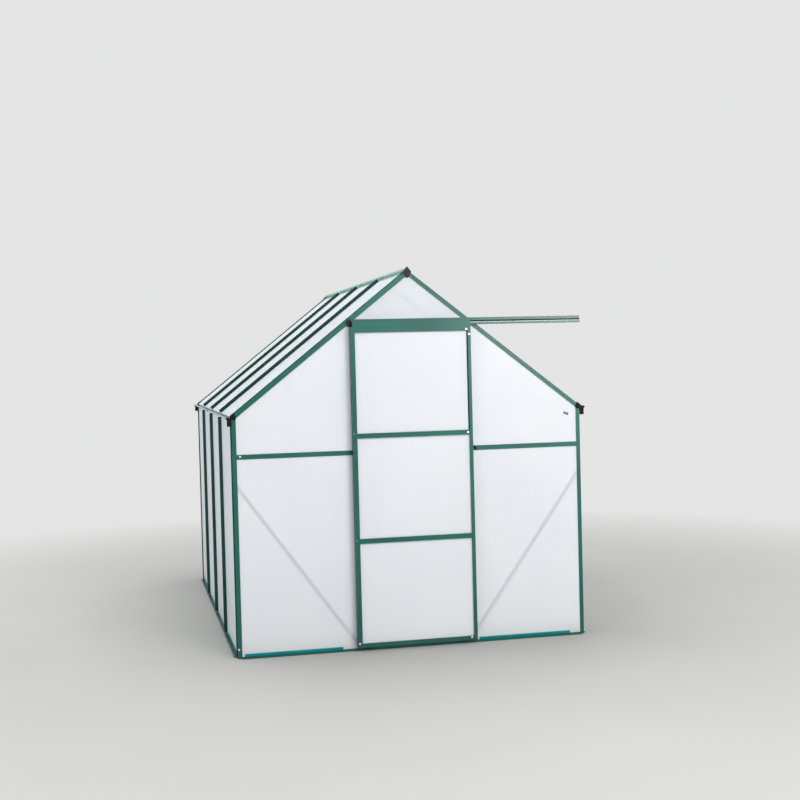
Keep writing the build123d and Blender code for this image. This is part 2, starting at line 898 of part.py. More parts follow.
# Rollers: a grooveless wheel inside the track on an axle that comes out of its slot

wheel_radius = track_height / 2 - track_wall - wheel_play


def make_roller(x):
    wheel_back = front_face - track_depth / 2 + wheel_width / 2
    with BuildPart() as roller:
        with BuildSketch(Plane.XZ.offset(-wheel_back)):
            with Locations((x, axle_height)):
                Circle(wheel_radius)
        extrude(amount=wheel_width)
        with BuildSketch(Plane.XZ.offset(-wheel_back)):
            with Locations((x, axle_height)):
                Circle(axle_radius)
        extrude(amount=wheel_back - door_back)
    return roller.part


save_solids(
    [make_roller(door_left + roller_inset), make_roller(door_right - roller_inset)],
    "door_rollers",
)


# Guides under the door, which run between the base rail and its upturned lip

def make_guide(x):
    near = front_face + gable_sheet_outer - foot_outer + lip_wall + guide_gap
    far = near + guide_foot
    with BuildPart() as guide:
        with BuildSketch(Plane.YZ.offset(x - guide_length / 2)):
            strip((near, lip_wall + guide_gap), (far, door_bottom + guide_height))
            strip((door_back, door_bottom + guide_foot), (far, door_bottom + guide_height))
        extrude(amount=guide_length)
    return guide.part


save_solids(
    [make_guide(door_left + 2 * roller_inset), make_guide(door_right - 2 * roller_inset)],
    "door_guides",
)
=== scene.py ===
import math

import bmesh
import bpy
from mathutils import Matrix, Vector


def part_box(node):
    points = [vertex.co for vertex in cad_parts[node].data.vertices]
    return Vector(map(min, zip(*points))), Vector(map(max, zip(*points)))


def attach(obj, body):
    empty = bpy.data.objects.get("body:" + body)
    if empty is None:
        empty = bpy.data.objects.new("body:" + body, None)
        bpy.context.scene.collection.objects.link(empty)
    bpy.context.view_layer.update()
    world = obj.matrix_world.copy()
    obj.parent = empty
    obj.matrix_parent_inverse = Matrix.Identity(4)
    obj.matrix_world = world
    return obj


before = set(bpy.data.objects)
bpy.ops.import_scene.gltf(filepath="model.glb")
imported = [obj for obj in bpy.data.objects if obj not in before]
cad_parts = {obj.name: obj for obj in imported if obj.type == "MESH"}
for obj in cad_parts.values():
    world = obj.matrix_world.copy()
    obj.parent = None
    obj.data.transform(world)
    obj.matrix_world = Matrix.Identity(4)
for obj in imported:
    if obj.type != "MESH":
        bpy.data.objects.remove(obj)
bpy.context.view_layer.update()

# The greenhouse stands on the floor with its door gable towards -Y. Metres.

FRAME = "frame"
DOOR = "door"


def lowest(node):
    """The lowest corner of a node's box, at rest."""
    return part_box(node)[0]


def highest(node):
    """The highest corner of a node's box, at rest."""
    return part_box(node)[1]


def middle(node):
    """The middle of a node's box, at rest."""
    return (lowest(node) + highest(node)) / 2


# Sizes of the frame, which the ribs, the bolts and the strips of painted shade and glint are set
# out from
HALF_WIDTH = highest("corner_posts_front").x
FRONT_FACE = lowest("corner_posts_front").y
BACK_FACE = highest("corner_posts_back").y
MIDDLE = (FRONT_FACE + BACK_FACE) / 2
BAY_COUNT = 4
BAY_LENGTH = (BACK_FACE - FRONT_FACE) / BAY_COUNT
EAVE_HEIGHT = 1.2289
RIDGE_HEIGHT = 1.9597
SLOPE = math.atan2(RIDGE_HEIGHT - EAVE_HEIGHT, HALF_WIDTH)
CROSS_RAIL = middle("cross_rails_front").z
HEADER = middle("door_header").z
RAIL_GAP = 0.003
BAR_GAP = 0.003
CORNER_BOX = 0.027
RAFTER_SLOT = 0.0185

# Sheets: the ends of their ribs, and where their middle lies
SHEET_BOTTOM = 0.0035
WALL_TOP = 1.211
ROOF_TOP = 0.017
ROOF_END = 1.179
SHEET_CORNER = 0.912
SHEET_POST_OUT = 0.301
SHEET_POST_IN = 0.295
FRONT_SHEET_MIDDLE = middle("front_apex_sheet").y
BACK_SHEET_MIDDLE = middle("back_apex_sheet").y
WALL_SHEET_MIDDLE = middle("wall_sheets_right").x
SIDE_SHEET_DEPTH = HALF_WIDTH - WALL_SHEET_MIDDLE
FLUTE_PITCH = 0.010

# Gable braces: X and Z of the middle line's ends
BRACE_TOP = (0.9049, 0.868)
BRACE_FOOT = (0.3123, 0.040)

# Door
DOOR_FACE = lowest("door_stiles").y
DOOR_SHEET_MIDDLE = middle("door_sheets").y
DOOR_SHEET_LEFT = -0.296
DOOR_SHEET_RIGHT = 0.309
DOOR_PANES = ((0.036, 0.564), (0.570, 1.103), (1.109, 1.638))


def srgb(red, green, blue):
    """A linear colour from the 0 to 255 values that a screen shows."""
    def linear(value):
        v = value / 255
        return v / 12.92 if v <= 0.04045 else ((v + 0.055) / 1.055) ** 2.4

    return linear(red), linear(green), linear(blue), 1.0


# Node sums written as plain expressions

class Wire:
    """A socket of a node tree. Sums of number wires add the nodes that work them out."""

    def __init__(self, owner, socket):
        self.owner = owner
        self.socket = socket

    def __add__(self, other):
        return self.owner.sum_of("ADD", self, other)

    def __radd__(self, other):
        return self.owner.sum_of("ADD", other, self)

    def __sub__(self, other):
        return self.owner.sum_of("SUBTRACT", self, other)

    def __rsub__(self, other):
        return self.owner.sum_of("SUBTRACT", other, self)

    def __mul__(self, other):
        return self.owner.sum_of("MULTIPLY", self, other)

    def __rmul__(self, other):
        return self.owner.sum_of("MULTIPLY", other, self)

    def fraction(self):
        return self.owner.sum_of("FRACT", self)

    def size(self):
        return self.owner.sum_of("ABSOLUTE", self)

    def at_most(self, other):
        return self.owner.sum_of("MINIMUM", self, other)

    def at_least(self, other):
        return self.owner.sum_of("MAXIMUM", self, other)


class Tree:
    """A node tree under construction."""

    def __init__(self, tree):
        self.tree = tree

    def node(self, kind, settings=None, inputs=None):
        """Adds a node: its settings are set first, then the values or links of its sockets."""
        made = self.tree.nodes.new(kind)
        for key, value in (settings or {}).items():
            setattr(made, key, value)
        for key, value in (inputs or {}).items():
            if isinstance(value, Wire):
                self.tree.links.new(value.socket, made.inputs[key])
            else:
                made.inputs[key].default_value = value
        return made

    def wire(self, made, output=0):
        return Wire(self, made.outputs[output])

    def sum_of(self, operation, *values):
        inputs = dict(enumerate(values))
        return self.wire(self.node("ShaderNodeMath", {"operation": operation}, inputs))

    def along(self, x, y, z):
        return self.wire(self.node("ShaderNodeCombineXYZ", None, {"X": x, "Y": y, "Z": z}))

    def mixed(self, amount, first, second):
        return self.wire(self.node("ShaderNodeMixShader", None, {0: amount, 1: first, 2: second}))


class Finish(Tree):
    """One material and the nodes that give it its look."""

    def __init__(self, name):
        self.material = bpy.data.materials.new(name)
        self.material.use_nodes = True
        super().__init__(self.material.node_tree)
        self.tree.nodes.clear()
        self.place = self.wire(self.node("ShaderNodeTexCoord"), "Object")

    def axis(self, name):
        split = self.node("ShaderNodeSeparateXYZ", None, {0: self.place})
        return self.wire(split, name)

    def stretched_place(self, stretch):
        settings = {"operation": "MULTIPLY"}
        return self.wire(self.node("ShaderNodeVectorMath", settings, {0: self.place, 1: stretch}))

    def noise(self, scale, detail=2.0, roughness=0.5, stretch=None):
        where = self.stretched_place(stretch) if stretch else self.place
        inputs = {"Vector": where, "Scale": scale, "Detail": detail, "Roughness": roughness}
        return self.wire(self.node("ShaderNodeTexNoise", None, inputs), "Fac")

    def band(self, value, low, high):
        """0 below low, 1 above high and even between them. High may be the smaller one."""
        ends = (low, high, 0.0, 1.0) if high > low else (high, low, 1.0, 0.0)
        inputs = dict(zip(("From Min", "From Max", "To Min", "To Max"), ends))
        inputs["Value"] = value
        return self.wire(self.node("ShaderNodeMapRange", {"clamp": True}, inputs))

    def blend(self, amount, first, second):
        settings = {"data_type": "RGBA", "clamp_factor": True}
        return self.wire(self.node("ShaderNodeMix", settings, {0: amount, 6: first, 7: second}), 2)

    def tinted(self, colour, towards, where, share):
        """The colour, moved by a share towards another one where the mask is 1."""
        return self.blend(where * share, colour, towards)

    def relief(self, height, strength, depth):
        inputs = {"Strength": strength, "Distance": depth, "Height": height}
        return self.wire(self.node("ShaderNodeBump", None, inputs))

    def skin(self, **inputs):
        named = {key.replace("_", " "): value for key, value in inputs.items()}
        return self.wire(self.node("ShaderNodeBsdfPrincipled", None, named))

    def done(self, shader):
        self.node("ShaderNodeOutputMaterial", None, {"Surface": shader})
        return self.material


# Finishes

# Heights between which a finish changes: first where the change begins, then where it is full
# Painted shade: heights over which the powder coat darkens towards the ground
PAINTED_SHADE_FOOT = (0.5, 0.0)
DUSTY_FOOT = (0.16, 0.0)
GRIMY_FOOT = (0.10, 0.02)
APEX_SHEET = (1.69, 1.72)
# Painted sheen: heights over which the black pieces grow paler towards the ridge
PAINTED_SHEEN_TOP = (1.6, 1.9)

# Distance from a brace's middle line where its shade begins, and where it is full
BRACE_SHADE = (0.0161, 0.0035)

# The same for the line of a rib, as a share of the flutes' pitch
RIB_LINE = (0.22, 0.04)

# How much of what lies behind it a sheet hides, and how much of its light comes through it
MILKINESS = 0.64
GLOW = 0.25


def powder_coat(name, deep, light, coat=0.35, specular=0.2, glare_end=None):
    """Green powder coat on extruded aluminium, with painted shade that darkens it near the ground,
    and a little dust there.

    glare_end: the X at which a painted glare begins to turn it grey, and at which it is greyest.
    """
    finish = Finish(name)
    clouds = finish.noise(scale=2.3, detail=3.0)
    speckle = finish.noise(scale=420.0, detail=1.0)
    peel = finish.noise(scale=900.0, detail=2.0)
    height = finish.axis("Z")
    dust = finish.band(height, *DUSTY_FOOT) * finish.noise(scale=35.0, detail=4.0, roughness=0.65)
    green = finish.blend(finish.band(clouds, 0.35, 0.65), deep, light)
    flecks = finish.band(speckle, 0.55, 0.8)
    green = finish.tinted(green, srgb(54, 118, 108), where=flecks, share=0.25)
    # Painted shade: the green darkens towards the ground, where less light reaches it
    green = finish.tinted(green, srgb(0, 48, 42), where=finish.band(height, *PAINTED_SHADE_FOOT), share=0.35)
    green = finish.tinted(green, srgb(120, 124, 116), where=dust, share=0.08)
    # Painted glare: towards its right end the track is greyed, as if washed out by the bright light
    # from the right
    if glare_end:
        painted_glare = finish.band(finish.axis("X"), *glare_end)
        green = finish.tinted(green, srgb(82, 94, 97), where=painted_glare, share=0.75)
    return finish.done(finish.skin(
        Base_Color=green,
        Roughness=0.34 + 0.10 * clouds + 0.25 * dust,
        Specular_IOR_Level=specular,
        Coat_Weight=coat,
        Coat_Roughness=0.22,
        Coat_IOR=1.45,
        Normal=finish.relief(peel, strength=0.12, depth=0.0004),
    ))


def brace_shade(finish):
    """1 where a gable brace lies behind a sheet and darkens it, 0 elsewhere."""
    run, rise = BRACE_TOP[0] - BRACE_FOOT[0], BRACE_TOP[1] - BRACE_FOOT[1]
    length = math.hypot(run, rise)
    out = finish.axis("X").size() - BRACE_FOOT[0]
    up = finish.axis("Z") - BRACE_FOOT[1]
    off = (out * (rise / length) - up * (run / length)).size()
    return finish.band(off, *BRACE_SHADE)


def twin_wall(name, across):
    """Milky twin-wall polycarbonate. The ribs between its two skins show as faint lines.

    across: the axis that the flutes are counted along. Only the gable sheets, with X, have
    braces behind them, and a clearer apex.
    """
    finish = Finish(name)
    phase = (finish.axis(across) * (1 / FLUTE_PITCH)).fraction()
    rib = finish.band((phase - 0.5).size(), *RIB_LINE)
    haze = finish.noise(scale=1.7, detail=3.0, roughness=0.55)
    streak = finish.noise(scale=1.0, detail=2.0, roughness=0.5, stretch=(60.0, 60.0, 1.5))
    height = finish.axis("Z")
    grime = finish.band(height, *GRIMY_FOOT) * finish.noise(scale=30.0, detail=4.0, roughness=0.6)
    white = finish.blend(finish.band(haze, 0.3, 0.7), srgb(237, 239, 242), srgb(243, 244, 246))
    white = finish.tinted(white, srgb(226, 231, 234), where=rib, share=0.06)
    milkiness = MILKINESS + 0.05 * rib
    if across == "X":
        apex = finish.band(height, *APEX_SHEET)
        milkiness = milkiness - 0.13 * apex
        white = finish.tinted(white, srgb(190, 196, 197), where=apex, share=0.04 + 0.55 * rib)
        white = finish.tinted(white, srgb(150, 172, 172), where=brace_shade(finish), share=0.32)
    streaks = finish.band(streak, 0.5, 0.8)
    white = finish.tinted(white, srgb(232, 236, 238), where=streaks, share=0.15)
    white = finish.tinted(white, srgb(196, 194, 186), where=grime, share=0.4)
    skin = finish.skin(
        Base_Color=white,
        Roughness=0.30 + 0.12 * haze,
        Normal=finish.relief(rib, strength=0.25, depth=0.0004),
        Alpha=milkiness,
    )
    inputs = {"Color": srgb(240, 242, 244)}
    through = finish.wire(finish.node("ShaderNodeBsdfTranslucent", None, inputs))
    return finish.done(finish.mixed(GLOW, skin, through))


def black_plastic():
    """Moulded black plastic with a fine grain, which also colours the dark pieces of painted shade.
    The pieces at the ridge are the palest, from a painted sheen.
    """
    finish = Finish("black_moulding")
    grain = finish.noise(scale=650.0, detail=3.0, roughness=0.6)
    wear = finish.noise(scale=40.0, detail=3.0)
    worn = finish.band(wear, 0.5, 0.75)
    black = finish.tinted(srgb(9, 7, 9), srgb(24, 21, 25), where=worn, share=0.5)
    # Painted sheen: the black is paler towards the ridge, as if catching light from above
    ridge_sheen = finish.band(finish.axis("Z"), *PAINTED_SHEEN_TOP)
    black = finish.tinted(black, srgb(50, 44, 52), where=ridge_sheen, share=0.8)
    return finish.done(finish.skin(
        Base_Color=black,
        Roughness=0.42 + 0.18 * wear,
        Specular_IOR_Level=0.12,
        Normal=finish.relief(grain, strength=0.25, depth=0.0003),
    ))


def teal_strip():
    """Teal cover strip, a little scuffed."""
    finish = Finish("teal_cover")
    scuff = finish.noise(scale=55.0, detail=4.0, roughness=0.6)
    clouds = finish.noise(scale=6.0, detail=2.0)
    teal = finish.blend(finish.band(clouds, 0.3, 0.7), srgb(0, 112, 116), srgb(0, 130, 134))
    scuffed = finish.band(scuff, 0.62, 0.85)
    teal = finish.tinted(teal, srgb(96, 160, 162), where=scuffed, share=0.3)
    return finish.done(finish.skin(
        Base_Color=teal,
        Roughness=0.28 + 0.25 * scuff,
        Specular_IOR_Level=0.1,
        Normal=finish.relief(scuff, strength=0.1, depth=0.0003),
    ))


def mill_metal(name, colour, pale, metallic):
    """Bare metal with a brushed, slightly dull surface."""
    finish = Finish(name)
    brush = finish.noise(scale=240.0, detail=3.0, roughness=0.6, stretch=(1.0, 1.0, 0.08))
    blotch = finish.noise(scale=28.0, detail=3.0)
    return finish.done(finish.skin(
        Base_Color=finish.blend(finish.band(blotch, 0.35, 0.7), colour, pale),
        Metallic=metallic,
        Roughness=0.26 + 0.2 * blotch,
        Normal=finish.relief(brush, strength=0.15, depth=0.0003),
    ))


def rib_milk():
    """The milky ribs inside the sheets."""
    finish = Finish("twin_wall_ribs")
    haze = finish.noise(scale=3.0, detail=2.0)
    milk = finish.blend(finish.band(haze, 0.3, 0.7), srgb(222, 228, 231), srgb(236, 240, 242))
    return finish.done(finish.skin(Base_Color=milk, Roughness=0.4))


FULL_GREEN = (srgb(0, 74, 65), srgb(2, 88, 78))
# Darker copy of the green for the roof bars: painted shade
SHADED_GREEN = (srgb(3, 54, 48), srgb(5, 66, 60))
# Paler copy of the green for the gutters and the ridge beam: a painted sheen of reflected light
SHEEN_GREEN_TONES = (srgb(106, 146, 140), srgb(128, 166, 160))
# X along the door track where its painted glare begins, and where it is greyest
TRACK_GLARE_END = (0.2, 0.95)

GREEN = powder_coat("green_powder_coat", *FULL_GREEN)
# Roof bars: the same powder coat, darkened as painted shade
ROOF_SHADE_GREEN = powder_coat("green_powder_coat_roof_bars", *SHADED_GREEN, coat=0.12, specular=0.1)
# Gutters and ridge beam: the same powder coat, lightened as a painted sheen
SHEEN_GREEN = powder_coat("green_powder_coat_pale", *SHEEN_GREEN_TONES)
TRACK_GREEN = powder_coat("green_powder_coat_track", *FULL_GREEN, glare_end=TRACK_GLARE_END)
RIB_MILK = rib_milk()
SHEET_GABLE = twin_wall("twin_wall_gable", "X")
SHEET_SIDE = twin_wall("twin_wall_side", "Y")
BLACK = black_plastic()
TEAL = teal_strip()
BARE = mill_metal("mill_aluminium", srgb(96, 102, 104), srgb(132, 140, 142), 0.6)
# Worn metal for the small door bolts; on the strip under the track's slot it is a painted glint
WORN_AND_GLINT = mill_metal("worn_edge", srgb(98, 122, 120), srgb(126, 148, 146), 0.3)
ZINC = mill_metal("zinc_plated_bolts", srgb(200, 208, 205), srgb(226, 232, 229), 0.6)
DULL = mill_metal("dull_bolts", srgb(52, 56, 56), srgb(92, 96, 95), 0.5)


# Finishes of the frame's own pieces: green, but for the sheets and for these

OWN_FINISH = {
    "ridge_caps": BLACK,
    "eave_caps": BLACK,
    "track_end_plug": BLACK,
    "door_guides": BLACK,
    "door_rollers": BLACK,
    "sill_strips": TEAL,
    "track_stop": BARE,
    "roof_bars": ROOF_SHADE_GREEN,
    "gutters": SHEEN_GREEN,
    "ridge_beam": SHEEN_GREEN,
    "door_track": TRACK_GREEN,
}

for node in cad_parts:
    if "sheet" in node:
        finish = SHEET_SIDE if node.startswith(("wall", "roof")) else SHEET_GABLE
    else:
        finish = OWN_FINISH.get(node, GREEN)
    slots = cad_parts[node].data.materials
    slots.clear()
    slots.append(finish)


# Patterns that repeat, made by geometry nodes

SOCKETS = {
    "length": "NodeSocketFloat",
    "count": "NodeSocketInt",
    "turn": "NodeSocketVector",
    "material": "NodeSocketMaterial",
}


class Pattern(Tree):
    """A geometry node tree with named inputs."""

    def __init__(self, name, **inputs):
        super().__init__(bpy.data.node_groups.new(name, "GeometryNodeTree"))
        sockets = self.tree.interface
        sockets.new_socket("Geometry", in_out="INPUT", socket_type="NodeSocketGeometry")
        for label, kind in inputs.items():
            sockets.new_socket(label, in_out="INPUT", socket_type=SOCKETS[kind])
        sockets.new_socket("Geometry", in_out="OUTPUT", socket_type="NodeSocketGeometry")
        self.entry = self.node("NodeGroupInput")

    def given(self, label):
        return self.wire(self.entry, label)

    def raised(self, kind, inputs, lift):
        """A basic shape, moved up."""
        shape = self.wire(self.node(kind, None, inputs))
        inputs = {"Geometry": shape, "Translation": self.along(0.0, 0.0, lift)}
        return self.wire(self.node("GeometryNodeTransform", None, inputs))

    def done(self, instances, material):
        real = self.node("GeometryNodeRealizeInstances", None, {0: instances})
        inputs = {"Geometry": self.wire(real), "Material": material}
        dressed = self.node("GeometryNodeSetMaterial", None, inputs)
        self.node("NodeGroupOutput", None, {"Geometry": self.wire(dressed)})
        return self.tree


def grown(tree, carrier, **values):
    """The plain mesh that a pattern grows on a carrier mesh."""
    holder = bpy.data.objects.new("holder", carrier)
    bpy.context.scene.collection.objects.link(holder)
    modifier = holder.modifiers.new("pattern", "NODES")
    modifier.node_group = tree
    for item in tree.interface.items_tree:
        if item.item_type == "SOCKET" and item.in_out == "INPUT" and item.name in values:
            modifier[item.identifier] = values[item.name]
    evaluated = holder.evaluated_get(bpy.context.evaluated_depsgraph_get())
    mesh = bpy.data.meshes.new_from_object(evaluated)
    bpy.data.objects.remove(holder)
    return mesh


def piece(name, body, material, parts):
    """One finished piece from (mesh, matrix) parts, at the origin."""
    joined = bmesh.new()
    for mesh, matrix in parts:
        mesh.transform(matrix)
        joined.from_mesh(mesh)
    mesh = bpy.data.meshes.new(name)
    joined.to_mesh(mesh)
    joined.free()
    mesh.materials.clear()
    mesh.materials.append(material)
    made = bpy.data.objects.new(name, mesh)
    bpy.context.scene.collection.objects.link(made)
    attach(made, body)
    return made


# Ribs between the two skins of each sheet

RIB_WALL = 0.0005
RIB_DEPTH = 0.0034
NO_ROOF = 99.0


def rib_pattern():
    """Upright ribs in a row along X, each as high as the roof line above it lets it be."""
    made = Pattern(
        "flute_ribs", Start="length", Count="count", Pitch="length", Wall="length",
        Depth="length", Bottom="length", Top="length", Ridge="length", Rise="length",
        Material="material",
    )
    start = made.along(made.given("Start"), 0.0, 0.0)
    offset = made.along(made.given("Pitch"), 0.0, 0.0)
    inputs = {"Count": made.given("Count"), "Start Location": start, "Offset": offset}
    row = made.wire(made.node("GeometryNodeMeshLine", {"mode": "OFFSET"}, inputs))
    position = made.wire(made.node("GeometryNodeInputPosition"))
    x = made.wire(made.node("ShaderNodeSeparateXYZ", None, {0: position}), "X")
    roof = made.given("Ridge") - made.given("Rise") * x.size()
    tall = (made.given("Top").at_most(roof) - made.given("Bottom")).at_least(RIB_WALL)
    lift = made.along(0.0, 0.0, made.given("Bottom") + tall * 0.5)
    lifted = made.node("GeometryNodeSetPosition", None, {"Geometry": row, "Offset": lift})
    block = made.wire(made.node("GeometryNodeMeshCube", None, {"Size": (1.0, 1.0, 1.0)}))
    scale = made.along(made.given("Wall"), made.given("Depth"), tall)
    inputs = {"Points": made.wire(lifted), "Instance": block, "Scale": scale}
    ribs = made.wire(made.node("GeometryNodeInstanceOnPoints", None, inputs))
    return made.done(ribs, made.given("Material"))


RIBS = rib_pattern()


def ribs(low, high, bottom, top, ridge=NO_ROOF, rise=0.0):
    """A row of ribs, centred between low and high."""
    count = int((high - low) / FLUTE_PITCH)
    start = (low + high) / 2 - (count - 1) * FLUTE_PITCH / 2
    return grown(
        RIBS, bpy.data.meshes.new("row"), Start=start, Count=count, Pitch=FLUTE_PITCH,
        Wall=RIB_WALL, Depth=RIB_DEPTH, Bottom=bottom, Top=top, Ridge=ridge, Rise=rise,
        Material=RIB_MILK,
    )


def gable_ribs(sheet_middle, spans):
    """spans: low and high X, bottom and top Z of each sheet in the gable."""
    under = RIDGE_HEIGHT - RAFTER_SLOT / math.cos(SLOPE)
    at = Matrix.Translation((0.0, sheet_middle, 0.0))
    return [(ribs(*span, ridge=under, rise=math.tan(SLOPE)), at) for span in spans]


def bay_spans():
    """Low and high Y of the sheet in each bay."""
    for bay in range(BAY_COUNT):
        low = FRONT_FACE + bay * BAY_LENGTH + BAR_GAP
        high = FRONT_FACE + (bay + 1) * BAY_LENGTH - BAR_GAP
        yield (max(low, FRONT_FACE + CORNER_BOX), min(high, BACK_FACE - CORNER_BOX))


def wall_ribs(side):
    at = Matrix.Translation((side * WALL_SHEET_MIDDLE, 0.0, 0.0))
    across = at @ Matrix.Rotation(math.pi / 2, 4, "Z")
    return [(ribs(low, high, SHEET_BOTTOM, WALL_TOP), across) for low, high in bay_spans()]


def roof_ribs(side):
    """The row runs along the ridge and each rib runs down the slope."""
    down = Vector((side * math.cos(SLOPE), 0.0, -math.sin(SLOPE)))
    outward = Vector((math.sin(SLOPE), 0.0, side * math.cos(SLOPE)))
    turned = Matrix((Vector((0.0, 1.0, 0.0)), outward, down)).transposed().to_4x4()
    inside = Vector((0.0, 0.0, RIDGE_HEIGHT)) - outward * side * SIDE_SHEET_DEPTH
    place = Matrix.Translation(inside) @ turned
    return [(ribs(low, high, ROOF_TOP, ROOF_END), place) for low, high in bay_spans()]


FRONT_SPANS = (
    (-SHEET_CORNER, -SHEET_POST_OUT, SHEET_BOTTOM, CROSS_RAIL - RAIL_GAP),
    (SHEET_POST_OUT, SHEET_CORNER, SHEET_BOTTOM, CROSS_RAIL - RAIL_GAP),
    (-SHEET_CORNER, -SHEET_POST_OUT, CROSS_RAIL + RAIL_GAP, NO_ROOF),
    (SHEET_POST_OUT, SHEET_CORNER, CROSS_RAIL + RAIL_GAP, NO_ROOF),
    (-SHEET_POST_IN, SHEET_POST_IN, HEADER + RAIL_GAP, NO_ROOF),
)
BACK_SPANS = FRONT_SPANS + (
    (-SHEET_POST_IN, SHEET_POST_IN, SHEET_BOTTOM, CROSS_RAIL - RAIL_GAP),
    (-SHEET_POST_IN, SHEET_POST_IN, CROSS_RAIL + RAIL_GAP, HEADER - RAIL_GAP),
)
DOOR_SPANS = [(DOOR_SHEET_LEFT, DOOR_SHEET_RIGHT, low, high) for low, high in DOOR_PANES]

front_ribs = gable_ribs(FRONT_SHEET_MIDDLE, FRONT_SPANS)
piece("flutes_front", FRAME, RIB_MILK, front_ribs)
back_ribs = gable_ribs(BACK_SHEET_MIDDLE, BACK_SPANS)
piece("flutes_back", FRAME, RIB_MILK, back_ribs)
for side, word in ((-1, "left"), (1, "right")):
    piece(f"flutes_wall_{word}", FRAME, RIB_MILK, wall_ribs(side))
    piece(f"flutes_roof_{word}", FRAME, RIB_MILK, roof_ribs(side))
door_ribs = gable_ribs(DOOR_SHEET_MIDDLE, DOOR_SPANS)
piece("flutes_door", DOOR, RIB_MILK, door_ribs)


# Bolts: a hexagonal head on a washer

WASHER_CORNERS = 16
HEAD_CORNERS = 6
WASHER_HEIGHT_SHARE = 0.3
WASHER_RADIUS_SHARE = 0.62
HEAD_TOP_SHARE = 0.43
HEAD_BOTTOM_SHARE = 0.5
HEAD_SINK_SHARE = 0.8


def bolt_pattern():
    """A bolt head at each point of the carrier, turned to face out of the bar."""
    made = Pattern("bolt_heads", Width="length", Height="length", Turn="turn", Material="material")
    width, height = made.given("Width"), made.given("Height")
    washer_height = height * WASHER_HEIGHT_SHARE
    washer = made.raised("GeometryNodeMeshCylinder", {
        "Vertices": WASHER_CORNERS,
        "Radius": width * WASHER_RADIUS_SHARE,
        "Depth": washer_height,
    }, washer_height * 0.5)
    head = made.raised("GeometryNodeMeshCone", {
        "Vertices": HEAD_CORNERS,
        "Radius Top": width * HEAD_TOP_SHARE,
        "Radius Bottom": width * HEAD_BOTTOM_SHARE,
        "Depth": height,
    }, washer_height * HEAD_SINK_SHARE)
    joined = made.node("GeometryNodeJoinGeometry")
    for part in (head, washer):
        made.tree.links.new(part.socket, joined.inputs[0])
    bolts = made.wire(made.node("GeometryNodeInstanceOnPoints", None, {
        "Points": made.given("Geometry"),
        "Instance": made.wire(joined),
        "Rotation": made.given("Turn"),
    }))
    return made.done(bolts, made.given("Material"))


BOLTS = bolt_pattern()
BOLT_WIDTH = 0.0085
SMALL_BOLT_WIDTH = 0.006
WIDE_BOLT_WIDTH = 0.0115
BOLT_HEIGHT = 0.0028
SMALL_BOLT_HEIGHT = 0.0022
FOOT_BOLT_HEIGHT = 0.0075
TO_FRONT = (math.radians(90), 0.0, 0.0)
TO_BACK = (math.radians(-90), 0.0, 0.0)
TO_RIGHT = (0.0, math.radians(90), 0.0)


def bolts(face, places, material, turn=TO_FRONT, width=BOLT_WIDTH, height=BOLT_HEIGHT):
    """Bolt heads on an upright face, from their X and Z."""
    points = bpy.data.meshes.new("places")
    points.from_pydata([(x, face, z) for x, z in places], [], [])
    mesh = grown(BOLTS, points, Width=width, Height=height, Turn=turn, Material=material)
    return mesh, Matrix.Identity(4)


# X and Z of the bolts, and how far back from the gable's face two of the groups stand
POST_FOOT_BOLT = (-0.919, 0.047)
CROSS_RAIL_BOLT = (-0.886, 1.022)
CORNER_FOOT_BOLT = (0.9238, 0.016)
CORNER_FOOT_BACK = 0.010
# Painted shade: two black bolt heads where the hollow end of the right cross rail lies in shadow
# beside the door post
POST_RAIL_SHADE_BOLTS = ((0.340, 1.0255), (0.3445, 1.0148))
SHEET_SCREWS = ((0.8413, 1.187), (0.8548, 1.182))
SHEET_BACK = 0.002
BACK_BOLTS = [(side * x, z) for side in (-1, 1) for x, z in (POST_FOOT_BOLT, CROSS_RAIL_BOLT)]
DOOR_BOLTS = ((-0.306, 0.042), (0.289, 0.035), (0.294, 1.106), (0.297, 1.641), (0.312, 1.615))
SMALL_DOOR_BOLTS = ((-0.308, 1.118), (-0.307, 0.571))

piece("frame_bolts", FRAME, ZINC, [
    bolts(FRONT_FACE, (POST_FOOT_BOLT, CROSS_RAIL_BOLT), ZINC),
    bolts(
        FRONT_FACE + CORNER_FOOT_BACK, (CORNER_FOOT_BOLT,), ZINC,
        TO_RIGHT, SMALL_BOLT_WIDTH, FOOT_BOLT_HEIGHT,
    ),
    bolts(BACK_FACE, BACK_BOLTS, ZINC, TO_BACK),
])
# Painted shade: black heads standing for the shadowed hollow end of the rail
piece("rail_end_shade_bolts", FRAME, BLACK, [
    bolts(FRONT_FACE, POST_RAIL_SHADE_BOLTS, BLACK, TO_FRONT, WIDE_BOLT_WIDTH),
])
piece("sheet_screws", FRAME, DULL, [
    bolts(FRONT_FACE + SHEET_BACK, SHEET_SCREWS, DULL, TO_FRONT, WIDE_BOLT_WIDTH),
])
piece("door_bolts", DOOR, ZINC, [bolts(DOOR_FACE, DOOR_BOLTS, ZINC)])
piece("door_bolts_small", DOOR, WORN_AND_GLINT, [
    bolts(DOOR_FACE, SMALL_DOOR_BOLTS, WORN_AND_GLINT, TO_FRONT, SMALL_BOLT_WIDTH, SMALL_BOLT_HEIGHT),
])


# Bars of one outline: the dark strips of painted shade by the door and in the track, the pale strip
# of painted glint in the track, and the gutter sleeves

UPRIGHT = Matrix.Identity(4)
ALONG_X = Matrix(((0, 0, 1, 0), (1, 0, 0, 0), (0, 1, 0, 0), (0, 0, 0, 1)))
ALONG_Y = Matrix.Rotation(math.radians(90), 4, "X")


